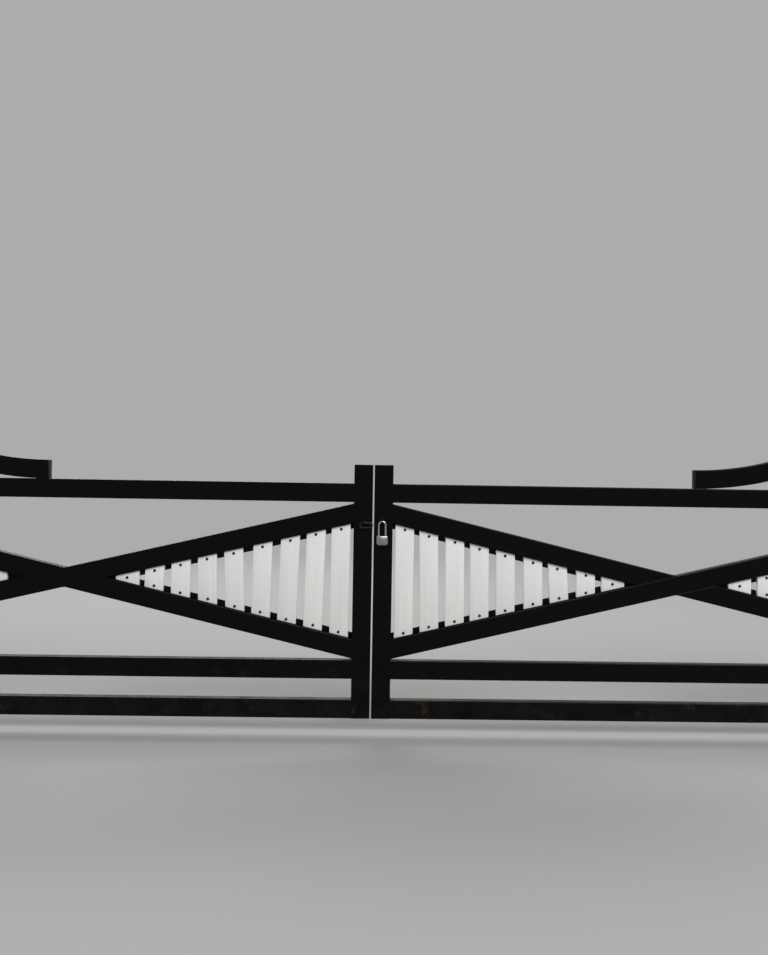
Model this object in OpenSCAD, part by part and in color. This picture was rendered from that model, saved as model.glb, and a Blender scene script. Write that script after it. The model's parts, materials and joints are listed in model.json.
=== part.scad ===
// Double-leaf steel farm gate with swan-neck leaves, crossed braces and white slats.
// The origin is the centre of the left base plate's underside. X runs along the gate to the right,
// Y runs through it, away from the lock side, and Z is up. All sizes are in millimetres.

/* [Leaf] */
// Overall width of one leaf, over its two stiles
leaf_w = 3250; // [2600:10:3800]
// Height of the meeting stile, from its lower cap to its upper cap
stile_h = 1350; // [1200:10:1500]
// Height that each stile stands above the rail or neck that meets it
stile_over = 100; // [40:5:160]
// Clear height between the bottom rail and the lower rail
rail_clear = 110; // [60:5:180]
// Height of the leaf above the ground
ground_clear = 80; // [70:5:150]
// Gap between the two meeting stiles
meet_gap = 8; // [8:1:20]

/* [Tube] */
// Height of the rectangular tube's section
tube_w = 100; // [80:5:120]
// Depth of the rectangular tube's section
tube_d = 50; // [44:2:60]
// Wall of the rectangular tube
tube_t = 3; // [2:0.5:4]
// Outer corner radius of the rectangular tube
tube_r = 6; // [5:0.5:8]
// Thickness of the plates that close the open tube ends
cap_t = 3; // [2:0.5:5]

/* [Braces] */
// Gap between the end of a brace and the rail next to it
brace_drop = 8; // [4:1:30]

/* [Swan neck] */
// Length of the swan neck along the top rail, from its cut end to the hinge stile
neck_run = 1430; // [1000:10:1600]
// Radius of the swan neck's two bends, on the centre line of its tube
neck_r = 1650; // [1400:10:2400]

/* [Slats] */
// Width of a slat
slat_w = 100; // [80:1:110]
// Width of the last slat of a bay, at the crossing
tip_w = 123; // [100:1:130]
// Thickness of a slat
slat_t = 20; // [12:1:22]
// Gap between two slats
slat_gap = 38; // [30:1:60]
// Gap between a stile and the first slat
slat_first = 17; // [14:1:40]
// Gap between the cut end of a slat and the edge of the brace
slat_end_gap = 2; // [1:0.5:5]
// Lean of the left leaf's slats, from the stile to the crossing, in degrees
left_leans = [0.5, 1.5, 2, 1, -2, -1, 0.5, 2.5, 0]; // [-3:0.5:4]
// Lean of the right leaf's slats, from the stile to the crossing, in degrees
right_leans = [0, 1, 0.5, 0.5, 0.5, 1, 3.5, 0.5, 0]; // [-3:0.5:4]
// How far the slats beside the left meeting stile sit off their even places, towards the crossing
left_inner_shifts = [2, 0, 0, 4, 12, 16, 20, 21, 13]; // [-15:1:25]
// How far the slats beside the left hinge stile sit off their even places, towards the crossing
left_outer_shifts = [0, 2, -3, -5, -2, -8, -10, -13, -24]; // [-25:1:10]
// How far the slats beside the right meeting stile sit off their even places, towards the crossing
right_inner_shifts = [-2, -7, -7, -13, -11, -1, -3, 6, 3]; // [-15:1:25]
// How far the slats beside the right hinge stile sit off their even places, towards the crossing
right_outer_shifts = [1, -2, 3, 5, -4, 2, 4, 0, -3]; // [-15:1:25]
// Width of the flat bar behind the slat ends
bar_w = 30; // [20:1:40]
// Thickness of the flat bar behind the slat ends
bar_t = 5; // [3:0.5:8]

/* [Posts] */
// Side of the square hinge post
post_w = 150; // [120:5:180]
// Wall of the hinge post
post_t = 5; // [3:0.5:8]
// Outer corner radius of the hinge post
post_r = 10; // [9:1:16]
// Height that the hinge post's tube stands above the hinge stile
post_over = 90; // [40:5:300]
// Overhang of the post cap beyond the post
cap_lip = 4; // [2:1:10]
// Thickness of the post cap's edge
cap_edge = 6; // [4:1:12]
// Rise of the post cap's four slopes
cap_rise = 22; // [10:1:60]
// Side of the small flat on the post cap's top
cap_flat = 14; // [6:1:40]
// Side of the square base plate
plate_w = 300; // [280:5:320]
// Thickness of the base plate
plate_t = 12; // [10:1:20]
// Corner radius of the base plate
plate_r = 12; // [5:1:25]
// Distance between two anchor holes
anchor_pitch = 230; // [220:1:240]
// Diameter of an anchor hole
anchor_d = 18; // [14:1:24]
// Thickness of the stiffeners on the base plate
rib_t = 8; // [6:1:12]
// Height of the stiffeners on the base plate
rib_h = 45; // [30:1:50]
// Reach of the stiffeners from the post
rib_reach = 60; // [40:1:62]

/* [Hinges] */
// Diameter of a hinge pin
pin_d = 24; // [18:1:26]
// Radial clearance of a hinge pin in its eye
pin_clear = 0.5; // [0.3:0.1:0.9]
// Outer diameter of a hinge eye
eye_d = 46; // [40:1:50]
// Height of a hinge eye
eye_h = 50; // [40:1:70]
// Height of the gap between an eye and the bracket under it
eye_lift = 0.5; // [0.3:0.1:0.9]
// Distance from the hinge axis to the stile
axis_to_stile = 35; // [34:1:45]
// Distance from the hinge axis to the post
axis_to_post = 50; // [50:1:70]
// Distance of the hinge eyes' centres from the ends of the hinge stile
hinge_inset = 200; // [160:5:300]
// Thickness of the eye's mounting plate on the stile
pad_t = 6; // [4:1:7]
// Height of the eye's mounting plate on the stile
pad_h = 120; // [90:1:160]
// Thickness of the web between a hinge eye and its mounting plate
web_t = 14; // [10:1:20]
// Width of the hinge bracket on the post
bracket_w = 44; // [36:1:46]
// Thickness of the hinge bracket on the post
bracket_t = 14; // [10:1:20]
// Height of the stiffener under the hinge bracket
bracket_rib_h = 45; // [30:1:70]
// Length of the pin's end above its eye
pin_over = 10; // [7:1:20]

/* [Latch and padlock] */
// Height of the middle of the latch loop above the ground
latch_z = 1109; // [900:1:1135]
// Outer length of the latch loop
loop_l = 74; // [60:1:90]
// Outer height of the latch loop
loop_h = 37; // [34:1:60]
// Diameter of the latch loop's bar
loop_bar = 11; // [8:0.5:12]
// How far the latch loop reaches past the stile, into the gap
loop_reach = 3; // [1:0.5:3]
// Distance from the stile's face to the middle of the loop, the lock eye's hole and the shackle
lock_stand = 16; // [16:0.5:20]
// Distance from the right stile's edge to the middle of the padlock
lock_u = 44; // [40:1:52]
// Thickness of the lock eye's plate
lug_t = 5; // [4:1:10]
// Diameter of the hole in the lock eye's plate
lug_hole_d = 15; // [13:0.5:18]
// Outer radius of the lock eye's plate
lug_r = 14; // [13:0.5:18]
// Diameter of the shackle's bar
shackle_d = 10.5; // [8:0.5:11]
// Distance between the shackle's two legs
shackle_pitch = 36; // [32:1:46]
// Height of the shackle's top above the middle of the latch loop
shackle_lift = 26; // [15:1:30]
// Height of the shackle above the padlock's body
shackle_rise = 80; // [60:1:90]
// Depth that the shackle's legs enter the padlock's body
shackle_depth = 24; // [15:1:30]
// Radial clearance of the shackle's legs in the padlock's body
shackle_clear = 0.25; // [0.2:0.05:0.6]
// Gap under the shackle's bend, over the lower edge of the lock eye's hole
shackle_seat = 0.8; // [0.7:0.05:0.95]
// Width of the padlock's body
lock_w = 60; // [58:1:66]
// Height of the padlock's body
lock_h = 51; // [46:1:64]
// Thickness of the padlock's body
lock_d = 28; // [22:1:30]
// Radius of the padlock body's lower corners
lock_r = 14; // [8:1:20]
// Radius of the padlock body's upper corners
lock_top_r = 5; // [3:1:8]

/* [Hidden] */

$fn = 48;

// Colours
black_paint = [0.02, 0.02, 0.022];
white_paint = [0.86, 0.86, 0.84];
bright_steel = [0.72, 0.72, 0.74];

// Cutting tools run past the faces that they cut by this much
over = 5;

// Places along the gate
post_half = post_w / 2;
hinge_x = post_half + axis_to_post;
left_meet_x = hinge_x + axis_to_stile + leaf_w;
right_meet_x = left_meet_x + meet_gap;
right_post_x = right_meet_x + left_meet_x;

// Heights on a leaf
leaf_z = ground_clear;
stile_top_z = leaf_z + stile_h;
top_rail_z = stile_top_z - stile_over - tube_w;
rail_top_z = top_rail_z + tube_w;
lower_rail_z = leaf_z + tube_w + rail_clear;
clear_z = lower_rail_z + tube_w;
clear_h = top_rail_z - clear_z;
clear_w = leaf_w - 2 * tube_w;

// The braces' slope: each brace's corner stays brace_drop clear of the rail where it meets a stile
cross_u = leaf_w / 2;
cross_z = clear_z + clear_h / 2;
half_w = clear_w / 2;
brace_high = clear_h / 2 - brace_drop;
brace_a = atan(brace_high / half_w) - asin(tube_w / 2 / norm([half_w, brace_high]));
brace_l = clear_w / cos(brace_a) + 2 * tube_w;

// The triangular bay between a stile and the crossing, as half heights and lengths
bay_h = half_w * tan(brace_a) - tube_w / 2 / cos(brace_a);
bay_l = bay_h / tan(brace_a);
bar_bay_h = bay_h - bar_w / cos(brace_a);
slat_bay_h = bay_h - slat_end_gap;
bar_split = 1;
slat_back = slat_t / 2;
slat_pitch = slat_w + slat_gap;
slat_n = floor((bay_l - slat_first) / slat_pitch);

// The swan neck's two equal bends
neck_a = asin(neck_run / 2 / neck_r);
neck_rise = 2 * neck_r * (1 - cos(neck_a));
neck_u = leaf_w - tube_w - neck_run;
neck_z = rail_top_z + tube_w / 2;
hinge_stile_top_z = rail_top_z + neck_rise + tube_w + stile_over;
post_top_z = hinge_stile_top_z + post_over;

// Hinge heights, to the underside of each eye
lower_eye_z = leaf_z + hinge_inset - eye_h / 2;
upper_eye_z = hinge_stile_top_z - hinge_inset - eye_h / 2;
hinge_u = leaf_w + axis_to_stile;
pin_tip = 2;

// The latch, the lock eye and the padlock
lock_y = -tube_d / 2 - lock_stand;
loop_bend_r = (loop_h - loop_bar) / 2;
loop_straight = loop_l - loop_h;
loop_u = loop_l / 2 - loop_reach;
shackle_r = shackle_d / 2;
shackle_bend_r = shackle_pitch / 2;
shackle_top_z = latch_z + shackle_lift;
bend_z = shackle_top_z - shackle_r - shackle_bend_r;
lock_top_z = shackle_top_z - shackle_rise;
lug_z = shackle_top_z - shackle_d - shackle_seat + lug_hole_d / 2;
keyway_d = 13;
keyway_depth = 3;

// A rectangle with round corners
module round_rect(w, d, r) {
    square([w - 2 * r, d], center = true);
    square([w, d - 2 * r], center = true);
    for (side = [-1, 1], end = [-1, 1])
        translate([side * (w / 2 - r), end * (d / 2 - r)])
            circle(r = r);
}

// The section of a rectangular tube
module tube_section(w, d, t, r) {
    difference() {
        round_rect(w, d, r);
        round_rect(w - 2 * t, d - 2 * t, r - t);
    }
}

module leaf_section() tube_section(tube_w, tube_d, tube_t, tube_r);

// A leaf tube that lies along X, with its axis on the origin
module lying_tube(l) {
    rotate([0, 90, 0])
        linear_extrude(l)
            leaf_section();
}

// A flat shape drawn in X and Z, given a thickness from front to back
module upright(front, back) {
    translate([0, back, 0])
        rotate([90, 0, 0])
            linear_extrude(back - front)
                children();
}

// A leaf is drawn from its meeting edge, with X towards its hinges
module on_left_leaf() {
    translate([left_meet_x, 0, 0])
        mirror([1, 0, 0])
            children();
}

module on_right_leaf() {
    translate([right_meet_x, 0, 0])
        children();
}

// A post group is drawn from the post's centre, with X towards the opening
module on_right_post() {
    translate([right_post_x, 0, 0])
        mirror([1, 0, 0])
            children();
}

// Stiles and rails
module stile(u, top_z) {
    color(black_paint)
        translate([u + tube_w / 2, 0, leaf_z + cap_t])
            linear_extrude(top_z - leaf_z - 2 * cap_t)
                leaf_section();
}

module meeting_stile() stile(0, stile_top_z);

module hinge_stile() stile(leaf_w - tube_w, hinge_stile_top_z);

module rail(z) {
    color(black_paint)
        translate([tube_w, 0, z + tube_w / 2])
            lying_tube(clear_w);
}

// The plates that close the ends of both stiles and the cut end of the swan neck
module tube_caps() {
    color(black_paint) {
        for (end = [[0, leaf_z], [0, stile_top_z - cap_t],
                    [leaf_w - tube_w, leaf_z], [leaf_w - tube_w, hinge_stile_top_z - cap_t]])
            translate([end[0] + tube_w / 2, 0, end[1]])
                linear_extrude(cap_t)
                    round_rect(tube_w, tube_d, tube_r);
        translate([neck_u - cap_t, 0, neck_z])
            rotate([0, 90, 0])
                linear_extrude(cap_t)
                    round_rect(tube_w, tube_d, tube_r);
    }
}

// The crossed braces
module sloping(a) {
    translate([cross_u, 0, cross_z])
        rotate([0, -a, 0])
            translate([-brace_l / 2, 0, 0])
                children();
}

module between_stiles() {
    intersection() {
        children();
        translate([tube_w, -tube_d, clear_z])
            cube([clear_w, 2 * tube_d, clear_h]);
    }
}

module long_brace() {
    color(black_paint)
        between_stiles()
            sloping(brace_a)
                lying_tube(brace_l);
}

// The second brace, cut in two by the first
module split_brace() {
    color(black_paint)
        difference() {
            between_stiles()
                sloping(-brace_a)
                    lying_tube(brace_l);
            sloping(brace_a)
                translate([0, -tube_d, -tube_w / 2])
                    cube([brace_l, 2 * tube_d, tube_w]);
        }
}

// One bend of the swan neck, from the place where the two bends meet
module neck_bend(start) {
    rotate([90, 0, 0])
        rotate([0, 0, start])
            rotate_extrude(angle = neck_a, $fn = 180)
                translate([neck_r, 0])
                    leaf_section();
}

module swan_neck() {
    color(black_paint)
        translate([neck_u + neck_run / 2, 0, neck_z + neck_rise / 2])
            rotate([0, -neck_a, 0])
                mirror([1, 0, 0]) {
                    translate([0, 0, neck_r])
                        neck_bend(-90);
                    translate([0, 0, -neck_r])
                        neck_bend(90);
                }
}

// The triangular bays between the stiles and the crossing
module inner_bay() {
    translate([tube_w, 0, cross_z])
        children();
}

module outer_bay() {
    translate([leaf_w - tube_w, 0, cross_z])
        mirror([1, 0, 0])
            children();
}

module bay_outline(half_h) {
    polygon([[0, -half_h], [0, half_h], [half_h / tan(brace_a), 0]]);
}

// Two flat bars along the braces, which carry the slats
module slat_bars() {
    color(black_paint)
        upright(slat_back, slat_back + bar_t)
            difference() {
                bay_outline(bay_h);
                translate([-over, 0])
                    bay_outline(bar_bay_h + over * tan(brace_a));
                translate([0, -bar_split / 2])
                    square([bay_l, bar_split]);
            }
}

// One slat, cut along the braces' slope
module slat(start, w, lean) {
    color(white_paint)
        upright(slat_back - slat_t, slat_back)
            intersection() {
                bay_outline(slat_bay_h);
                translate([start + w / 2, 0])
                    rotate(lean)
                        square([w, 4 * bay_h], center = true);
            }
}

// The slats of one bay, from the stile to the crossing
module slats(leans, shifts) {
    for (i = [0 : slat_n - 1])
        slat(slat_first + i * slat_pitch + shifts[i % len(shifts)],
             i == slat_n - 1 ? tip_w : slat_w,
             leans[i % len(leans)]);
}

// A hinge eye with its web and its mounting plate on the stile
module hinge_eye(z) {
    color(black_paint)
        difference() {
            translate([hinge_u, 0, z]) {
                cylinder(d = eye_d, h = eye_h);
                translate([-axis_to_stile, -web_t / 2, 0])
                    cube([axis_to_stile, web_t, eye_h]);
                translate([-axis_to_stile, -tube_d / 2 + tube_r, eye_h / 2 - pad_h / 2])
                    cube([pad_t, tube_d - 2 * tube_r, pad_h]);
            }
            translate([hinge_u, 0, z - over])
                cylinder(r = pin_d / 2 + pin_clear, h = eye_h + 2 * over);
        }
}

// A hinge bracket on the post, with the pin that stands in the eye
module hinge_pin(z) {
    bracket_top = z - eye_lift;
    pin_l = eye_lift + eye_h + pin_over;
    color(black_paint) {
        translate([hinge_x, 0, bracket_top - bracket_t]) {
            cylinder(d = bracket_w, h = bracket_t);
            translate([-axis_to_post, -bracket_w / 2, 0])
                cube([axis_to_post, bracket_w, bracket_t]);
        }
        translate([hinge_x, 0, bracket_top]) {
            cylinder(d = pin_d, h = pin_l - pin_tip);
            translate([0, 0, pin_l - pin_tip])
                cylinder(d1 = pin_d, d2 = pin_d - 2 * pin_tip, h = pin_tip);
        }
        translate([post_half, 0, bracket_top - bracket_t])
            upright(-rib_t / 2, rib_t / 2)
                polygon([[0, 0], [axis_to_post, 0], [0, -bracket_rib_h]]);
    }
}

// Posts
module post() {
    color(black_paint)
        translate([0, 0, plate_t])
            linear_extrude(post_top_z - plate_t)
                tube_section(post_w, post_w, post_t, post_r);
}

// Two of the post cap's four slopes, over its edge
module cap_slopes() {
    half = post_half + cap_lip;
    top = cap_edge + cap_rise;
    upright(-half, half)
        polygon([[-half, 0], [half, 0], [half, cap_edge],
                 [cap_flat / 2, top], [-cap_flat / 2, top], [-half, cap_edge]]);
}

module post_cap() {
    color(black_paint)
        translate([0, 0, post_top_z])
            intersection() {
                cap_slopes();
                rotate([0, 0, 90])
                    cap_slopes();
            }
}

// The base plate with its anchor holes and its four stiffeners
module base_plate() {
    color(black_paint) {
        difference() {
            linear_extrude(plate_t)
                round_rect(plate_w, plate_w, plate_r);
            for (side = [-1, 1], end = [-1, 1])
                translate([side * anchor_pitch / 2, end * anchor_pitch / 2, -over])
                    cylinder(d = anchor_d, h = plate_t + 2 * over);
        }
        for (turn = [0, 90, 180, 270])
            rotate([0, 0, turn])
                translate([post_half, 0, plate_t])
                    upright(-rib_t / 2, rib_t / 2)
                        polygon([[0, 0], [rib_reach, 0], [0, rib_h]]);
    }
}

// The bent bar of the latch loop, on two studs that are welded to the stile
module latch_loop() {
    color(black_paint)
        translate([loop_u, lock_y, latch_z]) {
            for (side = [-1, 1])
                translate([side * loop_straight / 2, 0, 0])
                    rotate([90, 0, 0])
                        rotate([0, 0, -side * 90])
                            rotate_extrude(angle = 180)
                                translate([loop_bend_r, 0])
                                    circle(d = loop_bar);
            for (side = [-1, 1]) {
                translate([-loop_straight / 2, 0, side * loop_bend_r])
                    rotate([0, 90, 0])
                        cylinder(d = loop_bar, h = loop_straight);
                translate([0, 0, side * loop_bend_r])
                    rotate([-90, 0, 0])
                        cylinder(d = loop_bar, h = lock_stand);
            }
        }
}

// The lock eye: a plate on the right stile's face, with the hole that carries the shackle
module lock_eye() {
    color(black_paint)
        difference() {
            translate([lock_u - lug_t / 2, 0, lug_z]) {
                translate([0, lock_y, 0])
                    rotate([0, 90, 0])
                        cylinder(r = lug_r, h = lug_t);
                translate([0, lock_y, -lug_r])
                    cube([lug_t, lock_stand, 2 * lug_r]);
            }
            translate([lock_u - lug_t / 2 - over, lock_y, lug_z])
                rotate([0, 90, 0])
                    cylinder(d = lug_hole_d, h = lug_t + 2 * over);
        }
}

// The padlock hangs in the lock eye
module lock_outline() {
    difference() {
        translate([-lock_w / 2, -lock_h])
            square([lock_w, lock_h]);
        for (side = [-1, 1]) {
            corner_cut(side * lock_w / 2, -lock_h, -side, 1, lock_r);
            corner_cut(side * lock_w / 2, 0, -side, -1, lock_top_r);
        }
    }
}

// What is cut from a square corner at x, y to leave a round one of radius r
module corner_cut(x, y, to_x, to_y, r) {
    translate([x + to_x * r / 2, y + to_y * r / 2])
        difference() {
            square(r, center = true);
            translate([to_x * r / 2, to_y * r / 2])
                circle(r = r);
        }
}

module padlock_body() {
    color(bright_steel)
        on_right_leaf()
            difference() {
                translate([lock_u, 0, lock_top_z])
                    upright(lock_y - lock_d / 2, lock_y + lock_d / 2)
                        lock_outline();
                for (side = [-1, 1])
                    translate([lock_u + side * shackle_bend_r, lock_y, lock_top_z - shackle_depth - 1])
                        cylinder(r = shackle_r + shackle_clear, h = shackle_depth + 1 + over);
                translate([lock_u, lock_y, lock_top_z - lock_h - over])
                    cylinder(d = keyway_d, h = keyway_depth + over);
            }
}

module padlock_shackle() {
    color(bright_steel)
        on_right_leaf()
            translate([lock_u, lock_y, bend_z]) {
                rotate([90, 0, 0])
                    rotate_extrude(angle = 180)
                        translate([shackle_bend_r, 0])
                            circle(d = shackle_d);
                for (side = [-1, 1])
                    translate([side * shackle_bend_r, 0, lock_top_z - shackle_depth - bend_z])
                        cylinder(d = shackle_d, h = bend_z - lock_top_z + shackle_depth);
            }
}

// The left post and its hinge pins
module left_post() post();
module left_post_cap() post_cap();
module left_base_plate() base_plate();
module left_upper_hinge_pin() hinge_pin(upper_eye_z);
module left_lower_hinge_pin() hinge_pin(lower_eye_z);

// The right post and its hinge pins
module right_post() on_right_post() post();
module right_post_cap() on_right_post() post_cap();
module right_base_plate() on_right_post() base_plate();
module right_upper_hinge_pin() on_right_post() hinge_pin(upper_eye_z);
module right_lower_hinge_pin() on_right_post() hinge_pin(lower_eye_z);

// The left leaf
module left_meeting_stile() on_left_leaf() meeting_stile();
module left_hinge_stile() on_left_leaf() hinge_stile();
module left_top_rail() on_left_leaf() rail(top_rail_z);
module left_lower_rail() on_left_leaf() rail(lower_rail_z);
module left_bottom_rail() on_left_leaf() rail(leaf_z);
module left_long_brace() on_left_leaf() long_brace();
module left_split_brace() on_left_leaf() split_brace();
module left_swan_neck() on_left_leaf() swan_neck();
module left_tube_caps() on_left_leaf() tube_caps();
module left_inner_slat_bars() on_left_leaf() inner_bay() slat_bars();
module left_outer_slat_bars() on_left_leaf() outer_bay() slat_bars();
module left_inner_slats() on_left_leaf() inner_bay() slats(left_leans, left_inner_shifts);
module left_outer_slats() on_left_leaf() outer_bay() slats(left_leans, left_outer_shifts);
module left_upper_hinge_eye() on_left_leaf() hinge_eye(upper_eye_z);
module left_lower_hinge_eye() on_left_leaf() hinge_eye(lower_eye_z);
module left_latch_loop() on_left_leaf() latch_loop();

// The right leaf
module right_meeting_stile() on_right_leaf() meeting_stile();
module right_hinge_stile() on_right_leaf() hinge_stile();
module right_top_rail() on_right_leaf() rail(top_rail_z);
module right_lower_rail() on_right_leaf() rail(lower_rail_z);
module right_bottom_rail() on_right_leaf() rail(leaf_z);
module right_long_brace() on_right_leaf() long_brace();
module right_split_brace() on_right_leaf() split_brace();
module right_swan_neck() on_right_leaf() swan_neck();
module right_tube_caps() on_right_leaf() tube_caps();
module right_inner_slat_bars() on_right_leaf() inner_bay() slat_bars();
module right_outer_slat_bars() on_right_leaf() outer_bay() slat_bars();
module right_inner_slats() on_right_leaf() inner_bay() slats(right_leans, right_inner_shifts);
module right_outer_slats() on_right_leaf() outer_bay() slats(right_leans, right_outer_shifts);
module right_upper_hinge_eye() on_right_leaf() hinge_eye(upper_eye_z);
module right_lower_hinge_eye() on_right_leaf() hinge_eye(lower_eye_z);
module right_lock_eye() on_right_leaf() lock_eye();

left_post();
left_post_cap();
left_base_plate();
left_upper_hinge_pin();
left_lower_hinge_pin();
right_post();
right_post_cap();
right_base_plate();
right_upper_hinge_pin();
right_lower_hinge_pin();
left_meeting_stile();
left_hinge_stile();
left_top_rail();
left_lower_rail();
left_bottom_rail();
left_long_brace();
left_split_brace();
left_swan_neck();
left_tube_caps();
left_inner_slat_bars();
left_outer_slat_bars();
left_inner_slats();
left_outer_slats();
left_upper_hinge_eye();
left_lower_hinge_eye();
left_latch_loop();
right_meeting_stile();
right_hinge_stile();
right_top_rail();
right_lower_rail();
right_bottom_rail();
right_long_brace();
right_split_brace();
right_swan_neck();
right_tube_caps();
right_inner_slat_bars();
right_outer_slat_bars();
right_inner_slats();
right_outer_slats();
right_upper_hinge_eye();
right_lower_hinge_eye();
right_lock_eye();
padlock_body();
padlock_shackle();
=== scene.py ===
import json
import math
import random
from contextlib import contextmanager
from functools import partial

import bmesh
import bpy
from bpy.props import FloatProperty, FloatVectorProperty, IntProperty, PointerProperty
from mathutils import Matrix, Vector


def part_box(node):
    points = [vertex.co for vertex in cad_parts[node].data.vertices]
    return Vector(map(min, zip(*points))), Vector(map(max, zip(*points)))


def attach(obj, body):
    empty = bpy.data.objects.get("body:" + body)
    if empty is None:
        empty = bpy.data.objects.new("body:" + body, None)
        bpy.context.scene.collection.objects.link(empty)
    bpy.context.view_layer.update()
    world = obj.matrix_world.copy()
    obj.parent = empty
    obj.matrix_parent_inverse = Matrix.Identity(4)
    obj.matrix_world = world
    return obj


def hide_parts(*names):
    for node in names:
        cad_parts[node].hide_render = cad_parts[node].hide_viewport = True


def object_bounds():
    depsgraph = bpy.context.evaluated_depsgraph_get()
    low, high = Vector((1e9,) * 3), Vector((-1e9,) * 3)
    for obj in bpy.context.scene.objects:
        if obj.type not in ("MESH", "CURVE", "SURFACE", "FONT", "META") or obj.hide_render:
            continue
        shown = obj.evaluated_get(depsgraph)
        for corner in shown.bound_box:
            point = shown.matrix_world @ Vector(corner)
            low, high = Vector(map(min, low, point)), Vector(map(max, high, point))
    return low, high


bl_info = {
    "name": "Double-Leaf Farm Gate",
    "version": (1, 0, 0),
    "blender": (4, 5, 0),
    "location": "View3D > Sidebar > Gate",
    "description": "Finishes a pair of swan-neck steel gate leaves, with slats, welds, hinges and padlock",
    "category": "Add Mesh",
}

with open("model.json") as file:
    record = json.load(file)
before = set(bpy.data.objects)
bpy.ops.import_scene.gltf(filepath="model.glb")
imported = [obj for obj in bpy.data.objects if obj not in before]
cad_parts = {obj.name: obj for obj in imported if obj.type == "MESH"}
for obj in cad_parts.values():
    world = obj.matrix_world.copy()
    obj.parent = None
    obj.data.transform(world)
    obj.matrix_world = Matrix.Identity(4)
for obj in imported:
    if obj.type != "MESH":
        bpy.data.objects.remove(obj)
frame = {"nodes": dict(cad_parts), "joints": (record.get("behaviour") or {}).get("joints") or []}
cad_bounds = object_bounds()

SIDES = ("left", "right")
X_AXIS, Y_AXIS, Z_AXIS = Vector((1, 0, 0)), Vector((0, 1, 0)), Vector((0, 0, 1))
MERGE = 0.00002          # vertices nearer than this are merged


# Sizes and colours that a user would change

def number(name, description, default, **kind):
    return FloatProperty(name=name, description=description, default=default, min=0, **kind)


def colour(name, description, default):
    return FloatVectorProperty(name=name, description=description, default=default, min=0, max=1, size=3,
                               subtype="COLOR")


length = partial(number, unit="LENGTH", precision=4)
share = partial(number, max=1, subtype="FACTOR")
power = partial(number, unit="POWER")


class PaintSettings(bpy.types.PropertyGroup):
    black: colour("Black", "Colour of the gloss paint on the steel", (0.0018, 0.0018, 0.002))
    roughness: share("Roughness", "Roughness of the clean gloss paint", 0.14)
    gloss: share("Gloss", "Specular level of the gloss paint", 0.09)
    # The dust colour, film and splashes also paint a reflection of the earthen ground low on the gate
    earth: colour("Dust", "Colour of the dust and the dried splashes", (0.31, 0.235, 0.165))
    film: share("Dust film", "How much the film of dust low on the gate covers", 0.025)
    splash: share("Splashes", "How much a dried splash low on the gate covers", 0.11)
    scuffed: colour("Scuffed paint", "Colour of paint rubbed by hands and the lock", (0.09, 0.09, 0.09))
    steel: colour("Steel", "Colour of bare steel where parts rub", (0.42, 0.41, 0.4))
    stain: colour("Stain", "Colour of the stains on bare steel", (0.12, 0.085, 0.06))
    edge: length("Eased edge", "Width of the eased edges on cut plate", 0.001)


class SlatSettings(bpy.types.PropertyGroup):
    white: colour("White", "Colour of the painted slats", (0.735, 0.735, 0.722))
    dust: colour("Dust", "Colour of the dust low on the slats", (0.5, 0.42, 0.33))
    edge: length("Eased edge", "Width of the eased edges of a slat", 0.0022)
    screw: colour("Screw", "Colour of the screws", (0.012, 0.012, 0.013))
    worn_screw: colour("Worn screw", "Colour of the worn spots on the screws", (0.06, 0.055, 0.05))
    screw_inset: length("Screw inset", "Distance of a screw from the end of its slat", 0.017)
    screw_shift: length("Screw shift", "How far a screw may sit off its mark", 0.0025)
    flange_radius: length("Flange radius", "Radius of the screw's washer flange", 0.0076)
    flange_height: length("Flange height", "Thickness of the screw's washer flange", 0.0014)
    hex_radius: length("Hex radius", "Radius of the screw's hexagon over its corners", 0.0047)
    hex_height: length("Hex height", "Height of the screw's hexagon", 0.0042)
    shank_radius: length("Shank radius", "Radius of the screw's threaded shank", 0.0026)
    shank_over: length("Shank end", "How far the shank stands out behind the flat bar", 0.013)


class WeldSettings(bpy.types.PropertyGroup):
    radius: length("Bead radius", "Radius of a weld bead between two tubes", 0.0048)
    proud: length("Bead height", "How far a bead stands out of the surface", 0.0017)
    ground: length("Ground bead height", "How far the ground-down bead at a crossing stands out", 0.0008)
    ripple: length("Ripple depth", "Depth of the ripples on a bead", 0.0005)
    pitch: length("Ripple pitch", "Distance between two rings of a bead", 0.0024)
    small_radius: length("Small bead radius", "Radius of a weld bead on plates and fittings", 0.003)
    stitch: length("Stitch length", "Length of a stitch weld on the flat bars", 0.025)
    seam: length("Seam length", "Length of the weld that joins two flat bars at the crossing", 0.12)
    stitch_count: IntProperty(name="Stitches", description="Stitch welds on each flat bar", default=5, min=1)


class PadlockSettings(bpy.types.PropertyGroup):
    case: colour("Case", "Colour of the padlock's case", (0.36, 0.36, 0.37))
    chrome: colour("Chrome", "Colour of the shackle", (0.48, 0.48, 0.49))
    crown: length("Crown", "How far a face of the case falls back towards its rims", 0.0046)
    slices: IntProperty(name="Slices", description="Strips that a crowned face is cut into each way",
                        default=10, min=2)
    rim: length("Rim", "Radius of the case's front and back edges", 0.006)
    collar: length("Collar", "Width of the collar round each shackle leg", 0.0022)
    slot_width: length("Key slot width", "Width of the key slot", 0.0022)
    slot_length: length("Key slot length", "Length of the key slot", 0.0085)


class StageSettings(bpy.types.PropertyGroup):
    floor: colour("Floor", "Colour of the floor", (0.37, 0.367, 0.361))
    backdrop: colour("Backdrop", "Colour of the far background", (0.41, 0.412, 0.415))
    key: power("Key light", "Power of the large light in front of the gate", 2950)
    fill: power("Fill light", "Power of the light behind the gate", 2750)
    sky: share("Sky", "Strength of the light from all round", 0.42)


# Bench work: selecting, editing, copying and joining

def activate(piece):
    bpy.ops.object.select_all(action="DESELECT")
    piece.select_set(True)
    bpy.context.view_layer.objects.active = piece


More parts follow.
